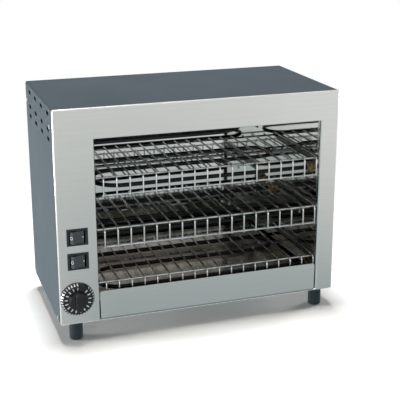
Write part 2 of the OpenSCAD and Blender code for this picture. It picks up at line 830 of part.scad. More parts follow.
module cover_screws() {
    color("silver") for (y = side_screw_y, z = side_screw_z) {
        at(0, y, z) pan_screw(screw_head_d, screw_head_h, screw_shank_l);
        at(body_w, y, z) mirror([1, 0, 0]) pan_screw(screw_head_d, screw_head_h, screw_shank_l);
    }
}

module back_screws() {
    color("silver") for (x = back_screw_x, z = back_screw_z)
        at(x, body_d, z) rotate([0, 0, -90]) pan_screw(screw_head_d, screw_head_h, 5);
}

module cable_gland() {
    color([0.13, 0.13, 0.14]) difference() {
        union() {
            bar_y(gland_x, [body_d - gland_in, body_d + 1], gland_z, 2 * gland_thread_r);
            at(gland_x, body_d, gland_z) rotate([-90, 0, 0])
                cylinder(r = gland_hex_r, h = gland_hex_t, $fn = 6);
            at(gland_x, body_d + gland_hex_t - eps, gland_z) rotate([-90, 0, 0])
                cylinder(r1 = gland_hex_r - 2, r2 = gland_bore_r + 3.5, h = gland_proud - gland_hex_t + eps);
        }
        bar_y(gland_x, [body_d - gland_in - 1, body_d + gland_proud + 1], gland_z, 2 * gland_bore_r);
    }
}

module gland_lock_nut() {
    color([0.13, 0.13, 0.14]) difference() {
        at(gland_x, body_d - sheet_t - nut_t, gland_z) rotate([-90, 0, 0])
            cylinder(r = gland_hex_r, h = nut_t, $fn = 6);
        bar_y(gland_x, [body_d - 8, body_d], gland_z, 2 * gland_thread_r);
    }
}

module terminal_block() {
    rear_y = body_d - sheet_t;
    hole_y = rear_y - block_hole_inset;
    color("ivory") difference() {
        box([block_x, block_x + 3 * block_pole_pitch], [rear_y - block_d, rear_y],
            [block_z, block_z + block_h]);
        for (i = [0 : 2]) {
            x = block_x + block_pole_pitch * (i + 0.5);
            bar_z(x, hole_y, [block_z - 1, block_z + block_h + 1], block_hole_d);
            bar_y(x, [rear_y - block_d - 1, hole_y], block_z + block_h / 2, block_hole_d);
        }
    }
}

// ---------------------------------------------------------------- nodes

cover();
front_frame();
base_plate();
back_panel();
lining_left();
lining_right();
lining_back();
lining_ceiling();
heat_shield();
rail(rack_z[0], cavity_x0, rail_left_w);  // rail_upper_left
rail(rack_z[0], cavity_x1, -rail_right_w);  // rail_upper_right
rail(rack_z[1], cavity_x0, rail_left_w);  // rail_middle_left
rail(rack_z[1], cavity_x1, -rail_right_w);  // rail_middle_right
rail(rack_z[2], cavity_x0, rail_left_w);  // rail_lower_left
rail(rack_z[2], cavity_x1, -rail_right_w);  // rail_lower_right
rack(rack_z[0]);  // rack_upper
rack(rack_z[1]);  // rack_middle
rack(rack_z[2]);  // rack_lower
element_ceiling();
serpentine(0);  // element_upper
serpentine(1);  // element_middle
serpentine(2);  // element_lower
element_bushes();
element_nuts();
element_terminals();
element_clips();
tray_pan();
tray_front();
tray_guide(pan_x0 - guide_gap - sheet_t, guide_w);  // tray_guide_left
tray_guide(pan_x1 + guide_gap + sheet_t, -guide_w);  // tray_guide_right
switch_housing(switch_z[0]);  // switch_housing_upper
switch_housing(switch_z[1]);  // switch_housing_lower
rocker(switch_z[0]);  // rocker_upper
rocker(switch_z[1]);  // rocker_lower
switch_tabs();
timer_case();
timer_bell();
timer_screws();
timer_shaft();
timer_dial();
foot(foot_x[0], foot_y[0]);  // foot_front_left
foot(foot_x[1], foot_y[0]);  // foot_front_right
foot(foot_x[0], foot_y[1]);  // foot_rear_left
foot(foot_x[1], foot_y[1]);  // foot_rear_right
foot_screws();
cover_screws();
back_screws();
cable_gland();
gland_lock_nut();
terminal_block();
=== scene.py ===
"""Looks of a counter-top toast oven with three wire racks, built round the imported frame.

Lengths in the tables are millimetres from the casing's front lower left corner: x to the right,
y backwards from the front plate's face, z up from the casing's underside.
"""

import json
import math

import bmesh
import bpy
import numpy as np
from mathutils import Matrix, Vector

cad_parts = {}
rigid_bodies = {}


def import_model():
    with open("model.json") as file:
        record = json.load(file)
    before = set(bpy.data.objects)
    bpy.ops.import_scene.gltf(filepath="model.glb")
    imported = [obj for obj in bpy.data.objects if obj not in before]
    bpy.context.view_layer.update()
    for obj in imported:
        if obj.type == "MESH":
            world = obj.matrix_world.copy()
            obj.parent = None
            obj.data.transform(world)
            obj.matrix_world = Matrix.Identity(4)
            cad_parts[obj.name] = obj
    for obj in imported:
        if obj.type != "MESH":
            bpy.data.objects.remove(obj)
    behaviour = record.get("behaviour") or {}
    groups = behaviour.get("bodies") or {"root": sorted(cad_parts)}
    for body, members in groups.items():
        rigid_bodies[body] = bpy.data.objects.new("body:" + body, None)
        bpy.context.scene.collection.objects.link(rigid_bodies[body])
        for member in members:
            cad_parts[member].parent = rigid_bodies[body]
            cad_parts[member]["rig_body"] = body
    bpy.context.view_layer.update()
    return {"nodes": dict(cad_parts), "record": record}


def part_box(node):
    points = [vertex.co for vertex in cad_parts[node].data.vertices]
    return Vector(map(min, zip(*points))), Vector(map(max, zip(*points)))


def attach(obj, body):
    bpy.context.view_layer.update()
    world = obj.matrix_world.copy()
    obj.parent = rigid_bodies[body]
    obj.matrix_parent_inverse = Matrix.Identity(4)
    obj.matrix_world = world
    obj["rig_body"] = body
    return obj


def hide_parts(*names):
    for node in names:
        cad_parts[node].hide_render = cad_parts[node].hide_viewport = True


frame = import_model()

MM = 0.001
CASING_CORNER = np.array(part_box("front_frame")[0])
# A sheet's points that are this close to a plane, in millimetres, lie in it.
IN_PLANE = 0.01
# Points this close, in metres, are one point.
DOUBLE = 1e-6
# In degrees: faces flatter than the first are joined, edges from the second are crisp, from the third rounded.
FLAT_WITHIN, CRISP_FROM, ROUND_FROM = 0.3, 30, 35


def casing(points):
    """Row-frame metres of points given in casing millimetres."""
    return CASING_CORNER + MM * np.asarray(points, float)


def node_box(node):
    """Lowest and highest corner of a CAD node in casing millimetres."""
    return (np.array(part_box(node)) - CASING_CORNER) / MM


# ---------------------------------------------------------------- surfaces


def grid_faces(rows, columns):
    """Quads of a grid whose columns close on themselves: (i, j), (i, j+1), (i+1, j+1), (i+1, j)."""
    i, j = np.meshgrid(np.arange(rows - 1), np.arange(columns), indexing="ij")
    k = (j + 1) % columns
    corners = [i * columns + j, i * columns + k, (i + 1) * columns + k, (i + 1) * columns + j]
    return np.stack(corners, -1).reshape(-1, 4)


def piece(name, grids, material, body, replaces=(), sharp=40):
    """One object from several closed grids of points, each rows x columns x 3, in metres.

    Rows that shrink to a point close the ends, doubles are merged there and the faces are turned outwards.
    """
    points, faces, start = [], [], 0
    for grid in grids:
        rows, columns = grid.shape[:2]
        points.append(grid.reshape(-1, 3))
        faces.append(grid_faces(rows, columns) + start)
        start += rows * columns
    mesh = bpy.data.meshes.new(name)
    mesh.from_pydata(np.concatenate(points), [], np.concatenate(faces).tolist())
    sheet = bmesh.new()
    sheet.from_mesh(mesh)
    bmesh.ops.remove_doubles(sheet, verts=sheet.verts, dist=DOUBLE)
    bmesh.ops.recalc_face_normals(sheet, faces=sheet.faces)
    sheet.to_mesh(mesh)
    sheet.free()
    return shown(name, mesh, material, body, replaces, sharp)


def shown(name, mesh, material, body, replaces=(), sharp=40):
    """Links a mesh as a piece that rides on a body; edges sharper than so many degrees stay crisp."""
    mesh.shade_smooth()
    mesh.set_sharp_from_angle(angle=math.radians(sharp))
    made = bpy.data.objects.new(name, mesh)
    bpy.context.scene.collection.objects.link(made)
    mesh.materials.clear()
    mesh.materials.append(material)
    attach(made, body)
    if replaces:
        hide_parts(*replaces)
    return made


def bent_path(corners, bend, steps=8):
    """A polyline whose inner corners are arcs: each arc is tangent to both runs and has the given radius."""
    corners = np.asarray(corners, float)
    run = [corners[:1]]
    for before, corner, after in zip(corners, corners[1:], corners[2:]):
        a = (before - corner) / np.linalg.norm(before - corner)
        b = (after - corner) / np.linalg.norm(after - corner)
        half = math.acos(np.clip(a @ b, -1, 1)) / 2
        centre = corner + (a + b) / np.linalg.norm(a + b) * bend / math.sin(half)
        start = corner + a * bend / math.tan(half) - centre
        end = corner + b * bend / math.tan(half) - centre
        t = np.linspace(0, 1, steps)[:, None]
        arc = start * (1 - t) + end * t
        run.append(centre + arc / np.linalg.norm(arc, axis=1, keepdims=True) * bend)
    run.append(corners[-1:])
    return np.concatenate(run)


# Rows that round a bar's end, and the share of its radius that they take off.
END_STEPS, END_ROUND = 3, 0.35


def bar_along(path, radius, normal, sides):
    """A round bar: a circle carried along a flat path.

    p(s, t) = path(s) + r(s) (cos t n + sin t (tangent(s) x n)), where n is square to the path's plane, and r is
    less over a quarter circle at each end, which rounds the ends' edges.
    """
    steps, edge = END_STEPS, END_ROUND * radius
    path, n = np.asarray(path, float), np.asarray(normal, float)
    first = (path[1] - path[0]) / np.linalg.norm(path[1] - path[0])
    last = (path[-1] - path[-2]) / np.linalg.norm(path[-1] - path[-2])
    t = np.linspace(0, math.pi / 2, steps + 1)[:, None]
    path = np.concatenate([path[:1] + first * edge * (1 - np.sin(t[::-1])), path[1:-1],
                           path[-1:] - last * edge * (1 - np.sin(t))])
    r = np.full(len(path), radius)
    r[: steps + 1] = radius - edge * (1 - np.cos(t[::-1, 0]))
    r[-steps - 1:] = r[steps::-1]
    tangent = np.gradient(path, axis=0)
    tangent /= np.linalg.norm(tangent, axis=1, keepdims=True)
    side = np.cross(tangent, n)
    a = np.linspace(0, 2 * math.pi, sides, endpoint=False)
    ring = np.cos(a)[None, :, None] * n + np.sin(a)[None, :, None] * side[:, None, :]
    rows = path[:, None, :] + r[:, None, None] * ring
    ends = [np.repeat(path[i][None, None, :], sides, axis=1) for i in (0, -1)]
    return casing(np.concatenate([ends[0], rows, ends[1]]))


def rows_of(elements, field, width=3, kind=float):
    """One field of all of a mesh's elements as an array, with a row for each element."""
    flat = np.empty(width * len(elements), kind)
    elements.foreach_get(field, flat)
    return flat.reshape(-1, width)


def weigh_edges(mesh, chosen):
    """Marks the chosen edges for a bevel that goes by weight."""
    layer = mesh.attributes.new("bevel_weight_edge", "FLOAT", "EDGE")
    layer.data.foreach_set("value", chosen.astype(float))


def dressed(node, material, edge=0.0, front_only=False):
    """A finished copy of a CAD node: doubles merged, flat faces joined and edges rounded by so many millimetres.

    With front_only, only the sharp edges that lie in the node's foremost plane are rounded.
    """
    mesh = frame["nodes"][node].data.copy()
    sheet = bmesh.new()
    sheet.from_mesh(mesh)
    bmesh.ops.remove_doubles(sheet, verts=sheet.verts, dist=DOUBLE)
    bmesh.ops.dissolve_limit(sheet, angle_limit=math.radians(FLAT_WITHIN), verts=sheet.verts, edges=sheet.edges)
    sheet.to_mesh(mesh)
    sheet.free()
    name = node + "_dressed"
    mesh.name = name
    if "custom_normal" in mesh.attributes:
        mesh.attributes.remove(mesh.attributes["custom_normal"])
    made = shown(name, mesh, material, frame["nodes"][node]["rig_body"], (node,), sharp=CRISP_FROM)
    if edge:
        bevel = made.modifiers.new("rounded edges", "BEVEL")
        bevel.width, bevel.segments, bevel.use_clamp_overlap = edge * MM, 2, True
        if front_only:
            depth = rows_of(mesh.vertices, "co")[:, 1]
            foremost = depth < depth.min() + IN_PLANE * MM
            crisp = np.zeros(len(mesh.edges), bool)
            if "sharp_edge" in mesh.attributes:
                mesh.attributes["sharp_edge"].data.foreach_get("value", crisp)
            weigh_edges(mesh, foremost[rows_of(mesh.edges, "vertices", 2, int)].all(axis=1) & crisp)
            bevel.limit_method = "WEIGHT"
        else:
            bevel.limit_method, bevel.angle_limit = "ANGLE", math.radians(ROUND_FROM)
    made.modifiers.new("even shading", "WEIGHTED_NORMAL").keep_sharp = True
    return made


# ---------------------------------------------------------------- materials

# Nearly all of a noise field lies between these two values.
NOISE_SPAN = (0.3, 0.7)
# Depths, in metres of the row frame, from the racks' lips to where the racks lie over the hot tubes; over this span
# the wires' chrome is painted darker as painted shade.
LIP_TO_TUBES = (-0.119, -0.085)


def tone(code):
    """Linear colour of an sRGB hex value: c / 12.92 below 0.04045, else ((c + 0.055) / 1.055) to the power 2.4."""
    c = np.array([int(code[i: i + 2], 16) for i in (1, 3, 5)]) / 255
    return (*np.where(c <= 0.04045, c / 12.92, ((c + 0.055) / 1.055) ** 2.4), 1.0)


def add(tree, kind, sockets=None, **settings):
    """One shader node with its settings; sockets gives each input a value or another node's output."""
    made = tree.nodes.new("ShaderNode" + kind)
    for key, value in settings.items():
        setattr(made, key, value)
    for key, value in (sockets or {}).items():
        if isinstance(value, bpy.types.NodeSocket):
            tree.links.new(value, made.inputs[key])
        else:
            made.inputs[key].default_value = value
    return made


def blank(name):
    """A new material with an empty node tree, and the Object coordinates in it."""
    made = bpy.data.materials.new(name)
    made.use_nodes = True
    made.node_tree.nodes.clear()
    return made, made.node_tree, add(made.node_tree, "TexCoord").outputs["Object"]


def finish(name, fields, colour, rough, relief=None, **plain):
    """A finish whose colour, roughness and relief follow fields of noise.

    fields gives each field the millimetres that its features measure, or those along x, y and z, its detail and
    its roughness. colour and rough name a field, the two values to go between and, where they aren't
    NOISE_SPAN, the field's two values there. relief names a field and its height in millimetres. The plain values
    are the same all over and sit on the shader's own sockets.
    """
    made, tree, place = blank(name)
    noise = {}
    for field, (size, detail, roughness) in fields.items():
        scale = (np.ones(3) / (MM * np.asarray(size, float))).tolist()
        spread = add(tree, "Mapping", {"Vector": place, "Scale": scale})
        noise[field] = add(tree, "TexNoise", {"Vector": spread.outputs[0], "Scale": 1.0, "Detail": detail,
                                              "Roughness": roughness}).outputs[0]
    sockets = {key.replace("_", " "): value for key, value in plain.items()}
    field, first, second, *span = colour
    low, high = span or NOISE_SPAN
    share = add(tree, "MapRange", {0: noise[field], 1: low, 2: high}).outputs[0]
    sockets["Base Color"] = add(tree, "Mix", {0: share, 6: tone(first), 7: tone(second)}, data_type="RGBA").outputs[2]
    field, first, second, *span = rough
    low, high = span or NOISE_SPAN
    sockets["Roughness"] = add(tree, "MapRange", {0: noise[field], 1: low, 2: high, 3: first, 4: second}).outputs[0]
    if relief:
        field, height = relief
        sockets["Normal"] = add(tree, "Bump", {"Height": noise[field], "Distance": height * MM,
                                               "Strength": 1.0}).outputs[0]
    add(tree, "OutputMaterial", {"Surface": add(tree, "BsdfPrincipled", sockets).outputs[0]})
    return made


def worked_metal(name, dark, light, size, smooth, dull):
    """Turned, drawn or rolled metal whose tone and gloss vary slowly over the surface."""
    return finish(name, {"film": (size, 3.0, 0.5)}, ("film", dark, light), ("film", smooth, dull), Metallic=1.0)


def moulded(name, dark, light, smooth, dull, texture=0.6, depth=0.01, gloss=0.0):
    """Moulded plastic or rubber: a fine spark-eroded texture with uneven gloss, and a polished skin where asked."""
    return finish(name, {"wear": (9, 3.0, 0.5), "skin": (texture, 1.0, 0.5)}, ("wear", dark, light),
                  ("wear", smooth, dull), ("skin", depth), Metallic=0.0, IOR=1.49, Coat_Weight=gloss, Coat_IOR=1.6,
                  Coat_Roughness=0.08)


def galvanised():
    """Galvanised sheet: dull zinc in flat crystals, about 7 mm across, each a little lighter or darker."""
    made, tree, place = blank("galvanised_sheet")
    spangle = add(tree, "TexVoronoi", {"Vector": place, "Scale": 0.14 / MM}).outputs["Color"]
    value = add(tree, "SeparateColor", {0: spangle}).outputs[0]
    tint = add(tree, "Mix", {0: value, 6: tone("#8f9597"), 7: tone("#a6acad")}, data_type="RGBA")
    dull = add(tree, "MapRange", {0: value, 3: 0.38, 4: 0.52})
    shader = add(tree, "BsdfPrincipled", {"Base Color": tint.outputs[2], "Roughness": dull.outputs[0],
                                          "Metallic": 1.0})
    add(tree, "OutputMaterial", {"Surface": shader.outputs[0]})
    return made


def chrome():
    """Bright chrome plate on drawn wire, painted dark grey behind the lip, where it lies over the tubes: a painted
    shade for the dark inside of the oven.
    """
    made, tree, place = blank("chrome_plated_wire")
    spread = add(tree, "Mapping", {"Vector": place, "Scale": [1 / (14 * MM)] * 3})
    film = add(tree, "TexNoise", {"Vector": spread.outputs[0], "Scale": 1.0, "Detail": 3.0, "Roughness": 0.5})
    back = add(tree, "SeparateXYZ", {0: place}).outputs[1]
    lip, tubes = LIP_TO_TUBES
    near = add(tree, "MapRange", {0: back, 1: lip, 2: tubes, 3: 0.0, 4: 0.9})
    # Painted shade: from the lip backwards the wire's colour goes towards dark grey, mottled by the film noise.
    painted_shade = add(tree, "Math", {0: near.outputs[0], 1: film.outputs[0]}, operation="MULTIPLY")
    share = add(tree, "MapRange", {0: painted_shade.outputs[0], 1: 0.0, 2: 0.45})
    tint = add(tree, "Mix", {0: share.outputs[0], 6: tone("#f6f8f7"), 7: tone("#3e4544")}, data_type="RGBA")
    gloss = add(tree, "MapRange", {0: back, 1: lip, 2: tubes, 3: 0.32, 4: 0.12})
    shader = add(tree, "BsdfPrincipled", {"Base Color": tint.outputs[2], "Roughness": gloss.outputs[0],
                                          "Metallic": 1.0})
    add(tree, "OutputMaterial", {"Surface": shader.outputs[0]})
    return made


FINISH = {
    # Slate powder coat on steel sheet: semi-matt, with a fine orange peel that breaks up the highlights.
    "cover_paint": finish(
        "powder_coated_steel", {"cloud": (90, 2.0, 0.5), "peel": (2.2, 1.0, 0.5)},
        ("cloud", "#4c616c", "#506570"), ("cloud", 0.42, 0.48), ("peel", 0.02),
        Metallic=0.0, IOR=1.5, Specular_IOR_Level=0.13),
    # Satin 304 stainless sheet: a fine lengthwise grain, drawn about 1 mm wide so that it shows at all.
    "satin_steel": finish(
        "satin_stainless", {"line": ((140, 140, 1.0), 3.0, 0.6), "cloud": (120, 2.0, 0.5)},
        ("line", "#d5d7d3", "#dbddd9"), ("cloud", 0.33, 0.38), ("line", 0.0015), Metallic=1.0),
    # Bright-polished stainless sheet: near mirror, slightly wavy as thin sheet is, with a faint haze from use.
    "polished_steel": finish(
        "polished_stainless", {"wave": (70, 1.0, 0.5), "haze": ((30, 30, 18), 4.0, 0.7)},
        ("haze", "#dedfdb", "#e6e7e3"), ("haze", 0.03, 0.08, 0.45, 0.8), ("wave", 0.10), Metallic=1.0),
    "zinc_steel": galvanised(),
    "chromed_wire": chrome(),
    # Heating tube: nickel alloy with a dark oxide that scatters light softly, mottled where it ran hottest.
    "tube_sheath": finish(
        "oxidised_alloy_tube", {"mottle": (12, 4.0, 0.65), "grit": (1.2, 2.0, 0.5)},
        ("mottle", "#16191a", "#2b3130"), ("mottle", 0.42, 0.6), ("grit", 0.03), Metallic=0.6),
    # Unglazed steatite rings that have browned in the heat, with a coarse, speckled skin.
    "ceramic": finish(
        "browned_steatite", {"speck": (3.2, 4.0, 0.75)},
        ("speck", "#3a2d20", "#e2c38a", 0.42, 0.62), ("speck", 0.25, 0.6), ("speck", 0.6), Metallic=0.0, IOR=1.55),
    # Turned brass nuts and tags, a little tarnished.
    "brass": worked_metal("machined_brass", "#a07c3c", "#c49c55", 5, 0.25, 0.4),
    # Bright zinc plate on the screws, which catches small clear highlights.
    "screw_steel": worked_metal("bright_zinc_screws", "#bfc4c6", "#d6dada", 3, 0.2, 0.34),
    # Glass-filled nylon of the switch housings and fittings: matt, near black and a little green.
    "black_plastic": moulded("glass_filled_nylon", "#1f2a2e", "#273337", 0.42, 0.55),
    # Polished plastic of the rockers: a clear skin that mirrors the room on each facet.
    "rocker_plastic": moulded("polished_rocker_plastic", "#26343a", "#2e3f45", 0.22, 0.32, 1.5, 0.004, gloss=1.0),
    # Phenolic of the dial: dense black with a soft sheen.
    "dial_plastic": moulded("phenolic_dial", "#14181a", "#1c2224", 0.26, 0.4, 1.0, 0.006),
    # Turned nylon of the feet: dark green-grey and matt.
    "foot_rubber": moulded("turned_nylon_foot", "#223238", "#2c3f45", 0.5, 0.65),
}
# Hot-stamped foil of the marks: near white and evenly bright.
PRINT = worked_metal("hot_stamped_foil", "#e4eaea", "#f6f9f9", 6, 0.3, 0.42)
# The bends of the stainless plate and the returns beside the opening: a lighter, glossier copy of the stainless, a
# painted highlight.
BEND_HIGHLIGHT = worked_metal("stainless_bend_painted_highlight", "#ecedea", "#f6f7f5", 25, 0.16, 0.26)
# Steel sheet that faces the heat: straw and brown oxide in clouds, with a duller skin than new sheet.
BROWNED = finish("heat_browned_steel", {"stain": (45, 5.0, 0.65)}, ("stain", "#b5ada3", "#cbc4ba"),
                 ("stain", 0.4, 0.55), Metallic=0.2)
# Rails beside the tubes, smoked to a dark grey that keeps some sheen.
SMOKED = worked_metal("smoked_rail_steel", "#343a39", "#4d5452", 20, 0.28, 0.42)
# The pan under the tubes, drawn to a straw tint: bright enough to mirror the room softly.
STRAW = worked_metal("straw_coloured_pan", "#a39d95", "#c3bdb4", 45, 0.12, 0.2)

LEVELS = ("upper", "middle", "lower")
SLOT = {part["node"]: part["material_slot"] for part in frame["record"]["subparts"]}
for node, made in frame["nodes"].items():
    made.data.materials.clear()
    made.data.materials.append(FINISH[SLOT[node]])
frame["nodes"]["tray_pan"].data.materials[0] = STRAW
for level in LEVELS:
    for side in ("left", "right"):
        frame["nodes"][f"rail_{level}_{side}"].data.materials[0] = SMOKED

# ---------------------------------------------------------------- casing

# For each dressed node, the radius of its edges in millimetres and whether only its front edges have it.
ROUNDED = {
    "cover": (0.3, False), "tray_front": (0.5, True),
    "switch_housing_upper": (0.7, True), "switch_housing_lower": (0.7, True),
    "rocker_upper": (0.5, False), "rocker_lower": (0.5, False),
    "cover_screws": (0.2, False), "back_screws": (0.2, False),
    "cable_gland": (0.5, False), "gland_lock_nut": (0.3, False), "terminal_block": (0.5, False),
    "element_bushes": (0.5, False), "element_nuts": (0.3, False), "timer_bell": (0, False),
    "timer_shaft": (0.2, False), "timer_screws": (0.2, False), "element_terminals": (0.2, False),
    "foot_front_left": (0.4, False), "foot_front_right": (0.4, False),
    "foot_rear_left": (0.4, False), "foot_rear_right": (0.4, False), "foot_screws": (0.2, False),
}
for node, (edge, front_only) in ROUNDED.items():
    dressed(node, FINISH[SLOT[node]], edge, front_only)

OPENING_LEFT, OPENING_RIGHT, OPENING_TOP = 60.0, 420.0, 284.5
PLATE_BACK, FOLD_R = 3.2, 2.8
# The second of these finishes, on bends and returns, is a painted highlight.
SATIN_FACE, HIGHLIGHT_FACE, INNER_FACE = 0, 1, 2
# A face looks straight along an axis, or inwards, where its normal has at least this much along it.
STRAIGHT, INWARDS = 0.995, 0.9


def folded_plate(made):
    """Folds the edge round the opening and sets the finish of each face by where it looks.

    The flat front stays satin, bends and the returns left and right of the opening get a lighter, glossier stainless
    as a painted highlight, and all that faces inwards is browned. The fold is a bevel on the opening's left, right
    and top front edges.
    """
    mesh = made.data
    mesh.materials.append(BEND_HIGHLIGHT)
    mesh.materials.append(BROWNED)
    look = rows_of(mesh.polygons, "normal")
    middle = (rows_of(mesh.polygons, "center") - CASING_CORNER) / MM
    kind = np.where(np.abs(look).max(axis=1) < STRAIGHT, HIGHLIGHT_FACE, SATIN_FACE)
    kind = np.where((look[:, 1] > INWARDS) | (middle[:, 1] > PLATE_BACK), INNER_FACE, kind)
    returns = np.abs(middle[:, :1] - (OPENING_LEFT, OPENING_RIGHT)).min(axis=1) < IN_PLANE
    mesh.polygons.foreach_set("material_index", np.where(returns, HIGHLIGHT_FACE, kind).astype(np.int32))

    place = (rows_of(mesh.vertices, "co") - CASING_CORNER) / MM
    on_side = np.abs(place[:, [0, 0, 2]] - (OPENING_LEFT, OPENING_RIGHT, OPENING_TOP)) < IN_PLANE
    at_opening = ((place[:, 1] < IN_PLANE) & (place[:, 0] > OPENING_LEFT - IN_PLANE)
                  & (place[:, 0] < OPENING_RIGHT + IN_PLANE) & (place[:, 2] < OPENING_TOP + IN_PLANE))
    first, last = rows_of(mesh.edges, "vertices", 2, int).T
    weigh_edges(mesh, (on_side[first] & on_side[last]).any(axis=1) & at_opening[first] & at_opening[last])
    fold = made.modifiers.new("fold round the opening", "BEVEL")
    fold.width, fold.segments, fold.limit_method, fold.material = FOLD_R * MM, 5, "WEIGHT", HIGHLIGHT_FACE
    fold.use_clamp_overlap = False
    made.modifiers.move(len(made.modifiers) - 1, 0)


folded_plate(dressed("front_frame", FINISH["satin_steel"]))

# ---------------------------------------------------------------- rocker marks

ROCKER_PIVOT, ROCKER_TILT = (30.0, 1.6), math.radians(12.5)
# Parts of the rocker's own section that carry a mark, from one point to the other, measured from the pivot.
RAISED_END, SUNK_FACE = ((-11.6, -0.6), (-8.6, -5.107)), ((6.2, -4.575), (8.6, -5.107))
# How deep a mark's foot lies under the facet, and how far its face stands proud of it.
MARK_FOOT, MARK_FACE = -0.15, 0.1
# The ring's inner and outer half height and its width as a share of its height; the bar's half width and height.
RING_INNER, RING_OUTER, RING_SHAPE = 1.75, 2.65, 0.75
BAR_W, BAR_H = 0.6, 1.5


def on_facet(node, facet, across, up, lift):
    """Points on an end facet: p = middle + across e + lift n, turned by the tilt about the pivot, at height up."""
    first, last = np.array(facet)
    e = (last - first) / np.linalg.norm(last - first)
    n = np.array([e[1], -e[0]])
    flat = (first + last) / 2 + across[..., None] * e + lift[..., None] * n
    u, v = flat[..., 0], flat[..., 1]
    c, s = math.cos(ROCKER_TILT), math.sin(ROCKER_TILT)
    z = node_box(node)[:, 2].mean() + up
    return casing(np.stack([ROCKER_PIVOT[0] + u * c - v * s, ROCKER_PIVOT[1] + u * s + v * c, z], -1))


def off_mark(node):
    """The ring: a flat band round an oval, (shape r cos t, r sin t), closed on itself."""
    t = np.linspace(0, 2 * math.pi, 33)[:, None]
    r = np.array([RING_INNER, RING_OUTER, RING_OUTER, RING_INNER])
    lift = np.array([MARK_FOOT, MARK_FOOT, MARK_FACE, MARK_FACE]) + 0 * t
    return on_facet(node, RAISED_END, RING_SHAPE * r * np.cos(t), r * np.sin(t), lift)


def on_mark(node):
    """The bar: an oval, (w cos t, h sin t), carried from under the facet to just over it and closed there."""
    t = np.linspace(0, 2 * math.pi, 16, endpoint=False)[None, :]
    size = np.array([1.0, 1.0, 0.0])[:, None]
    lift = np.array([MARK_FOOT, MARK_FACE, MARK_FACE])[:, None] + 0 * t
    return on_facet(node, SUNK_FACE, BAR_W * size * np.cos(t), BAR_H * size * np.sin(t), lift)


for node in ("rocker_upper", "rocker_lower"):
    piece(node + "_marks", [off_mark(node), on_mark(node)], PRINT, frame["nodes"][node]["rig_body"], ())

# ---------------------------------------------------------------- racks

WIRE_R, CROSS_R = 1.3, 1.6
WIRE_X = np.linspace(73.0, 417.4, 18)
CROSS_ENDS = (62.2, 418.9)
LIP_Y, LIP_BEND, LIP_DROP, WIRE_RISE = 5.5, 6.0, 27.0, 2.6
RACK_END, CROSS_Y = 173.0, (11.5, 90.75, 170.0)
# A weld bead's half length and half thickness, and how far its middle lies from the cross wire's axis.
BEAD_L, BEAD_T, BEAD_RISE = 1.9, 0.9, 1.45


def weld_bead(x, y, z, size):
    """A flattened bead: an ellipsoid p(u, t) = centre + size (sin u cos t, sin u sin t, cos u)."""
    u = np.linspace(0, math.pi, 6)[:, None]
    t = np.linspace(0, 2 * math.pi, 8, endpoint=False)[None, :]
    ball = np.stack([np.sin(u) * np.cos(t), np.sin(u) * np.sin(t), np.cos(u) + 0 * t], -1)
    return casing(np.array([x, y, z]) + ball * np.asarray(size))


def cross_wire(start, end, y, z):
    """A straight wire from side to side."""
    return bar_along([(start, y, z), (end, y, z)], CROSS_R, (0, 0, 1), 14)


def wire_rack(node):
    """Long wires bent down into the lip, the cross wires under them and a bead at each weld."""
    top = node_box(node)[1][2] - WIRE_R
    cross_z = top - WIRE_RISE
    lip_z = cross_z - LIP_DROP
    grids = []
    for x in WIRE_X:
        path = bent_path([(x, RACK_END, top), (x, LIP_Y, top), (x, LIP_Y, lip_z - CROSS_R)], LIP_BEND)
        grids.append(bar_along(path, WIRE_R, (1, 0, 0), 12))
    grids += [cross_wire(*CROSS_ENDS, y, cross_z) for y in CROSS_Y]
    grids.append(cross_wire(WIRE_X[0] - WIRE_R, WIRE_X[-1] + WIRE_R, LIP_Y + WIRE_RISE, lip_z))
    for x in WIRE_X:
        grids += [weld_bead(x, y, cross_z + BEAD_RISE, (BEAD_L, BEAD_L, BEAD_T)) for y in CROSS_Y]
        grids.append(weld_bead(x, LIP_Y + BEAD_RISE, lip_z, (BEAD_L, BEAD_T, BEAD_L)))
    return piece(node + "_wires", grids, FINISH["chromed_wire"], frame["nodes"][node]["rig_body"], (node,),
                 sharp=60)


for level in LEVELS:
    wire_rack("rack_" + level)

# ---------------------------------------------------------------- heating tubes

TUBE_R = 3.25
# The x of a tube's two ends, of its turns on the left and of those on the right.
TUBE_ENDS, TURN_LEFT, TURN_RIGHT, CEILING_TURN = (46, 436), 112, 368, 256
LEGS, CEILING_LEGS, CASING_D = (180, 120, 36), (32, 152), 230


def heating_tube(node, legs, right_turn):
    """A tube bent to and fro: straight legs at the given y, joined by half circles right and left."""
    z = node_box(node)[:, 2].mean()
    path = [np.array([[TUBE_ENDS[0], legs[0], z]])]
    for i, (a, b) in enumerate(zip(legs, legs[1:])):
        x, way = (right_turn, 1) if i % 2 == 0 else (TURN_LEFT, -1)
        t = np.linspace(-math.pi / 2, math.pi / 2, 25)[:, None]
        r = (b - a) / 2
        path.append(np.concatenate([x + way * abs(r) * np.cos(t), (a + b) / 2 + r * np.sin(t), z + 0 * t], axis=1))
    path.append(np.array([[TUBE_ENDS[len(legs) % 2], legs[-1], z]]))
    grid = bar_along(np.concatenate(path), TUBE_R, (0, 0, 1), 20)
    return piece(node + "_tube", [grid], FINISH["tube_sheath"], "casing", (node,), sharp=60)


heating_tube("element_upper", LEGS, TURN_RIGHT)
heating_tube("element_middle", tuple(CASING_D - y for y in LEGS), TURN_RIGHT)
heating_tube("element_lower", LEGS, TURN_RIGHT)
heating_tube("element_ceiling", CEILING_LEGS, CEILING_TURN)

# ---------------------------------------------------------------- timer dial

dial_low, dial_high = node_box("timer_dial")
DIAL = np.array([(dial_low[0] + dial_high[0]) / 2, 0.0, (dial_low[2] + dial_high[2]) / 2])
DIAL_R = (dial_high[0] - dial_low[0]) / 2
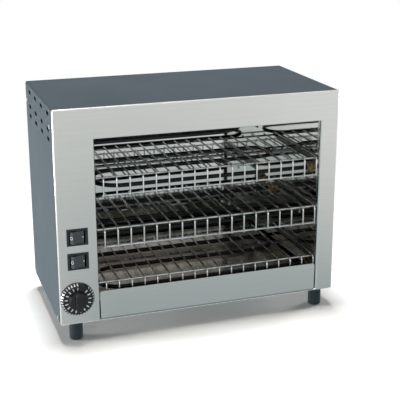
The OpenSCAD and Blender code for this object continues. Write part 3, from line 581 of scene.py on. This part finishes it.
# How far the dial's parts stand in front of the plate, from the skirt's back to the grip's top.
SKIRT_BACK, SKIRT_EDGE, SKIRT_FRONT, HUB_FRONT, GRIP_FRONT = 1.0, 1.8, 6.0, 13.0, 19.0
SKIRT_BEVEL, SKIRT_RIM, HUB_R, HUB_TAPER, GRIP_HALF, GRIP_ROUND = 3.4, 3.5, 14.6, 1.2, 5.4, 1.6
DIAL_EDGE_R, DIAL_SIDES = 0.35, 96
# The power that squares the grip's outline, how much wider and longer its two foot outlines are than the hub and
# the grip, and how much shorter than the hub it is above them.
GRIP_POWER, FOOT_WIDER, FOOT_LONGER, GRIP_SHORTER = 0.45, (0.8, 0.3), (0.6, 0.3), 0.2
# Degrees that the dial turns in a minute, and the minutes that it can be wound to.
MINUTE_STEP, MINUTES = 10.5, 30
# Inner end, outer end and half width of a mark on the bevel and of one on the flat ring; its foot and its face.
BEVEL_MARK, RING_MARK = (DIAL_R - SKIRT_BEVEL + 0.2, DIAL_R - 0.3, 1.0), (HUB_R + 1.2, 20.4, 0.85)
TICK_FOOT, TICK_FACE = -0.2, 0.12


def dial_body():
    """The skirt and the hub: p(u, t) = centre + radius(u) (cos t, 0, sin t) - front(u) y.

    (radius, front) is an outline with rounded corners, closed at the back by a shallow cone and in front by a disc.
    """
    outline = bent_path([(DIAL_R - SKIRT_RIM, SKIRT_BACK), (DIAL_R, SKIRT_BACK), (DIAL_R, SKIRT_EDGE),
                         (DIAL_R - SKIRT_BEVEL, SKIRT_FRONT), (HUB_R, SKIRT_FRONT),
                         (HUB_R - HUB_TAPER, HUB_FRONT), (0.0, HUB_FRONT)], DIAL_EDGE_R, steps=4)
    outline = np.concatenate([[(0.0, SKIRT_BACK + 0.01)], outline])
    t = np.linspace(0, 2 * math.pi, DIAL_SIDES, endpoint=False)
    r, front = outline[:, 0, None], outline[:, 1, None]
    return casing(DIAL + np.stack([r * np.cos(t), -front + 0 * t, r * np.sin(t)], -1))


def grip_bar():
    """The grip: a stadium outline across the hub, carried forward and drawn in towards its rounded top.

    p(h, t) = centre + (w(h) c(t), -y(h), l(h) s(t)), where c and s are cos t and sin t to a small power.
    """
    t = np.linspace(0, 2 * math.pi, 72, endpoint=False)
    c = np.sign(np.cos(t)) * np.abs(np.cos(t)) ** GRIP_POWER
    s = np.sign(np.sin(t)) * np.abs(np.sin(t)) ** GRIP_POWER
    top = np.linspace(0, math.pi / 2, 7)
    drawn_in = GRIP_ROUND * (1 - np.cos(top))
    w = np.concatenate([GRIP_HALF + np.array(FOOT_WIDER), GRIP_HALF - drawn_in, [0.0]])
    l = np.concatenate([HUB_R + np.array(FOOT_LONGER), HUB_R - GRIP_SHORTER - drawn_in, [0.0]])
    y = np.concatenate([[SKIRT_FRONT + 1, HUB_FRONT - 1], GRIP_FRONT - GRIP_ROUND + GRIP_ROUND * np.sin(top),
                        [GRIP_FRONT]])
    return casing(DIAL + np.stack([w[:, None] * c, -y[:, None] + 0 * t, l[:, None] * s], -1))


def tick_marks(angles, inner, outer, half, front):
    """Thin printed bars that point at the shaft; front(radius) is the surface they lie on.

    Each is a loop of four corners (r, h), carried from under the surface to just over it and closed there:
    p = centre + r (sin a, 0, cos a) + h (cos a, 0, -sin a) - (front(r) + lift) y.
    """
    a = np.radians(angles)[:, None, None]
    spread, lift = np.array([[1.0], [1.0], [0.0]]), np.array([[TICK_FOOT], [TICK_FACE], [TICK_FACE]])
    middle = (inner + outer) / 2
    r = middle + (np.array([inner, inner, outer, outer]) - middle) * spread
    h = np.array([-half, half, half, -half]) * spread
    proud = front(r) + lift + 0 * a
    return list(casing(DIAL + np.stack([r * np.sin(a) + h * np.cos(a), -proud, r * np.cos(a) - h * np.sin(a)], -1)))


def on_bevel(radius):
    """How far the skirt's bevel stands in front of the plate at a radius."""
    return SKIRT_EDGE + (SKIRT_FRONT - SKIRT_EDGE) * (DIAL_R - radius) / SKIRT_BEVEL


def on_skirt(radius):
    """How far the skirt's flat ring stands in front of the plate."""
    return SKIRT_FRONT + 0 * radius


piece("dial_knob", [dial_body(), grip_bar()], FINISH["dial_plastic"], "dial", ("timer_dial",), 35)
every_minute, every_other = -MINUTE_STEP * np.arange(MINUTES + 1), -2 * MINUTE_STEP * np.arange(MINUTES // 2 + 1)
ticks = tick_marks(every_minute, *BEVEL_MARK, on_bevel) + tick_marks(every_other, *RING_MARK, on_skirt)
piece("dial_marks", ticks, PRINT, "dial", ())

# ---------------------------------------------------------------- stage, light and camera

WHITE = (1.0, 1.0, 1.0, 1.0)
FLOOR_HALF = 12.0


def off_the_floor(tree, ray):
    """0 for a ray that left the floor and met metal next, else 1: that ray sees the lit paper and no glow."""
    after = add(tree, "Math", {0: ray.outputs["Diffuse Depth"], 1: 0.5}, operation="LESS_THAN")
    later = add(tree, "Math", {0: ray.outputs["Ray Depth"], 1: 2.5}, operation="GREATER_THAN")
    return add(tree, "Math", {0: after.outputs[0], 1: later.outputs[0]}, operation="MAXIMUM").outputs[0]


def window(tree, *edges):
    """1 inside a window and 0 outside: each edge is a coordinate, where it starts and ends and its first value."""
    inside = 1.0
    for along, start, end, first in edges:
        edge = add(tree, "MapRange", {0: along, 1: start, 2: end, 3: first, 4: 1.0 - first})
        inside = add(tree, "Math", {0: inside, 1: edge.outputs[0]}, operation="MULTIPLY").outputs[0]
    return inside


def studio_paper():
    """White paper that keeps the object's shadow and that metal sees as a glow, with a painted shadow in front of the
    object.
    """
    made, tree, place = blank("studio_floor")
    ray = add(tree, "LightPath")
    # A camera ray sees the paper overexposed to white, with the shadow left on it; light sees pale grey paper.
    paper = add(tree, "MapRange", {0: ray.outputs["Is Camera Ray"], 3: 0.88, 4: 2.9}).outputs[0]
    cream = add(tree, "VectorMath", {0: (1.0, 0.985, 0.965), "Scale": paper}, operation="SCALE").outputs[0]
    lit = add(tree, "BsdfDiffuse", {"Color": cream})
    # A glossy ray sees the paper as a white glow, with a painted shadow in front of the object, which the metal front
    # mirrors as painted shade. After a diffuse bounce it sees the lit paper, so that the metal throws no glow into
    # the shadow under the object.
    x, y, _ = add(tree, "SeparateXYZ", {0: place}).outputs
    painted_shadow = window(tree, (x, -0.42, -0.12, 0.0), (x, 0.25, 0.75, 1.0), (y, -0.12, -0.02, 1.0), (y, -2.2, -0.15, 0.0))
    shade = add(tree, "Mix", {0: painted_shadow, 6: WHITE, 7: (0.42, 0.48, 0.50, 1)}, data_type="RGBA").outputs[2]
    glow = add(tree, "Emission", {"Color": shade, "Strength": 1.0})
    glossy = add(tree, "Math", {0: ray.outputs["Is Glossy Ray"], 1: off_the_floor(tree, ray)}, operation="MULTIPLY")
    both = add(tree, "MixShader", {0: glossy.outputs[0], 1: lit.outputs[0], 2: glow.outputs[0]})
    # Away from the object, where no shadow falls, a camera ray sees plain white.
    away = add(tree, "VectorMath", {0: place}, operation="LENGTH").outputs["Value"]
    far = add(tree, "Math", {0: window(tree, (away, 0.55, 0.9, 0.0)), 1: ray.outputs["Is Camera Ray"]},
              operation="MULTIPLY")
    white = add(tree, "Emission", {"Color": WHITE, "Strength": 1.0})
    seen = add(tree, "MixShader", {0: far.outputs[0], 1: both.outputs[0], 2: white.outputs[0]})
    add(tree, "OutputMaterial", {"Surface": seen.outputs[0]})
    return made


def studio_room():
    """Room that the camera sees as white, that metal sees as a studio and that gives other rays a faint fill."""
    made = bpy.data.worlds.new("studio")
    made.use_nodes = True
    tree = made.node_tree
    tree.nodes.clear()
    ray = add(tree, "LightPath")
    clear = add(tree, "Math", {0: ray.outputs["Is Glossy Ray"], 1: ray.outputs["Is Transmission Ray"]},
                operation="MAXIMUM")
    seen = add(tree, "Math", {0: clear.outputs[0], 1: off_the_floor(tree, ray)}, operation="MULTIPLY")
    # White up to 12 degrees above the horizon, a dim band above that, and a bright ceiling overhead.
    right, _, up = add(tree, "SeparateXYZ", {0: add(tree, "TexCoord").outputs["Generated"]}).outputs
    sky = add(tree, "ValToRGB", {0: up})
    stops = [*sky.color_ramp.elements, *(sky.color_ramp.elements.new(1) for _ in range(2))]
    for stop, (height, level) in zip(stops, ((0.20, 1.0), (0.30, 0.22), (0.60, 0.30), (0.80, 1.0))):
        stop.position, stop.color = height, (level, level, level, 1)
    # A bright screen hangs from 20 degrees up, straight ahead and a little to the right: the pan mirrors it.
    screen = window(tree, (up, 0.335, 0.37, 0.0), (right, -0.05, 0.05, 0.0), (right, 0.28, 0.38, 1.0))
    hung = add(tree, "Mix", {0: screen, 6: sky.outputs[0], 7: (0.9, 0.9, 0.9, 1)}, data_type="RGBA")
    lit = add(tree, "Mix", {0: seen.outputs[0], 6: (0.045, 0.045, 0.045, 1), 7: hung.outputs[2]}, data_type="RGBA")
    shown_sky = add(tree, "Mix", {0: ray.outputs["Is Camera Ray"], 6: lit.outputs[2], 7: WHITE}, data_type="RGBA")
    back = add(tree, "Background", {"Color": shown_sky.outputs[2], "Strength": 1.0})
    add(tree, "OutputWorld", {"Surface": back.outputs[0]})
    return made


def lamp(name, place, aim, size, power):
    """A square soft lamp at a place, turned towards its aim, in metres and watts."""
    data = bpy.data.lights.new(name, "AREA")
    data.shape, data.size, data.energy = "SQUARE", size, power
    made = bpy.data.objects.new(name, data)
    made.location = place
    made.rotation_euler = (Vector(aim) - Vector(place)).to_track_quat("-Z", "Y").to_euler()
    bpy.context.scene.collection.objects.link(made)


paper_sheet = bpy.data.meshes.new("floor")
paper_sheet.from_pydata([(x * FLOOR_HALF, y * FLOOR_HALF, 0) for x, y in ((-1, -1), (1, -1), (1, 1), (-1, 1))], [],
                        [(0, 1, 2, 3)])
paper_sheet.materials.append(studio_paper())
floor = bpy.data.objects.new("floor", paper_sheet)
bpy.context.scene.collection.objects.link(floor)
bpy.context.scene.world = studio_room()

lamp("left", (-1.0, 0.15, 0.08), (-0.2, 0, 0.1), 0.15, 3.0)
lamp("right", (1.7, 0.5, 0.25), (0.2, 0, 0.15), 0.5, 8)
lamp("front", (-1.3, -1.35, 0.12), (0, -0.1, 0.15), 0.22, 4)
lamp("overhead", (0.0, 0.4, 5.0), (0, 0, 0.15), 1.0, 88)

AIM = Vector((-0.00396, -0.1135, 0.2364))
AZIMUTH, ELEVATION, DISTANCE = math.radians(-18.877), math.radians(16.8), 1.44986
away = Vector((math.sin(AZIMUTH) * math.cos(ELEVATION), -math.cos(AZIMUTH) * math.cos(ELEVATION),
               math.sin(ELEVATION)))
lens = bpy.data.cameras.new("camera")
lens.sensor_width, lens.lens, lens.shift_y = 36, 86.208, -0.05
lens.clip_start, lens.clip_end = 0.05, 50
camera = bpy.data.objects.new("camera", lens)
camera.location = AIM + away * DISTANCE
camera.rotation_euler = (-away).to_track_quat("-Z", "Y").to_euler()
bpy.context.scene.collection.objects.link(camera)
bpy.context.scene.camera = camera
bpy.context.scene.view_settings.view_transform = "Standard"
